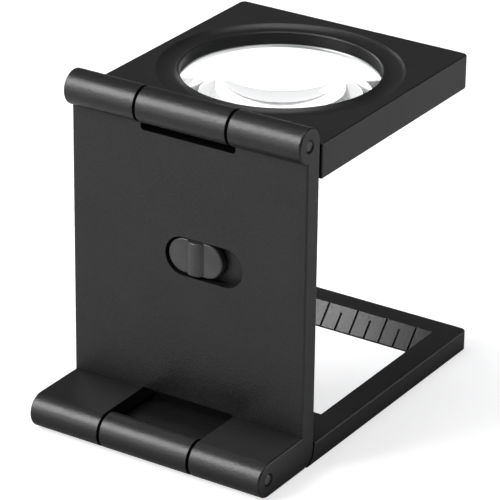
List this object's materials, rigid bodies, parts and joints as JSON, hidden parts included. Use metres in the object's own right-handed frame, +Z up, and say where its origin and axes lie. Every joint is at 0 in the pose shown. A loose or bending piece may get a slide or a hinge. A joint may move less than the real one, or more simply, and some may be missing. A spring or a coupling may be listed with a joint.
{
  "type": "folding hand lens",
  "caption": "Folding hand lens: an upright plate with a hinged square lens leaf on top, a hinged base frame with a graduated window below, and a lamp slide.",
  "frame": {"origin": "middle of the open lens's bounding box, on the surface it stands on", "axes": "+Z up, +X along the hinge pins, +Y from the back plate towards the free ends of the lens leaf and the base frame"},
  "size_m": [0.038, 0.057, 0.0507],
  "materials": {
    "black_coating": "satin black coating on die-cast zinc, fine grain",
    "pin_steel": "blackened steel pins and spring washers",
    "lens_glass": "clear polished optical glass with a fine ground edge",
    "ring_bright": "satin turned aluminium ring",
    "knob_black": "satin black moulded knob",
    "housing_black": "fine-textured black moulding",
    "carrier_plastic": "natural white acetal moulding",
    "screw_steel": "zinc-plated steel",
    "contact_brass": "nickel-free spring brass",
    "cell_steel": "bright nickel-plated can",
    "board_green": "green solder mask on glass epoxy",
    "resistor_black": "ceramic chip",
    "sheet_card": "fish-paper insulator",
    "led_epoxy": "clear epoxy lamp body"
  },
  "bodies": {
    "stand": {"back_plate": "black_coating", "upper_hinge_pin": "pin_steel", "lower_hinge_pin": "pin_steel", "upper_hinge_washers": "pin_steel", "lower_hinge_washers": "pin_steel", "switch_contacts": "contact_brass", "lamp_housing": "housing_black", "housing_screws": "screw_steel", "battery_door": "housing_black", "battery_door_screw": "screw_steel", "coin_cell": "cell_steel", "battery_contact_negative": "contact_brass", "battery_contact_positive": "contact_brass", "circuit_board": "board_green", "chip_resistor": "resistor_black", "insulator_sheet": "sheet_card", "led_left": "led_epoxy", "led_right": "led_epoxy"},
    "lens_leaf": {"lens_frame": "black_coating", "lens": "lens_glass", "lens_retaining_ring": "ring_bright"},
    "base_leaf": {"base_frame": "black_coating"},
    "lamp_slide": {"switch_knob": "knob_black", "switch_carrier": "carrier_plastic", "switch_wiper": "contact_brass"}
  },
  "joints": [
    {"name": "lens_leaf_hinge", "type": "hinge", "parent": "stand", "child": "lens_leaf", "pos_m": [0, -0.01698, 0.0482], "axis": [1, 0, 0], "range_deg": [0, 270]},
    {"name": "base_leaf_hinge", "type": "hinge", "parent": "stand", "child": "base_leaf", "pos_m": [0, -0.02593, 0.00255], "axis": [-1, 0, 0], "range_deg": [0, 270]},
    {"name": "lamp_slide_travel", "type": "slide", "parent": "stand", "child": "lamp_slide", "axis": [1, 0, 0], "range_m": [0, 0.0033]}
  ]
}
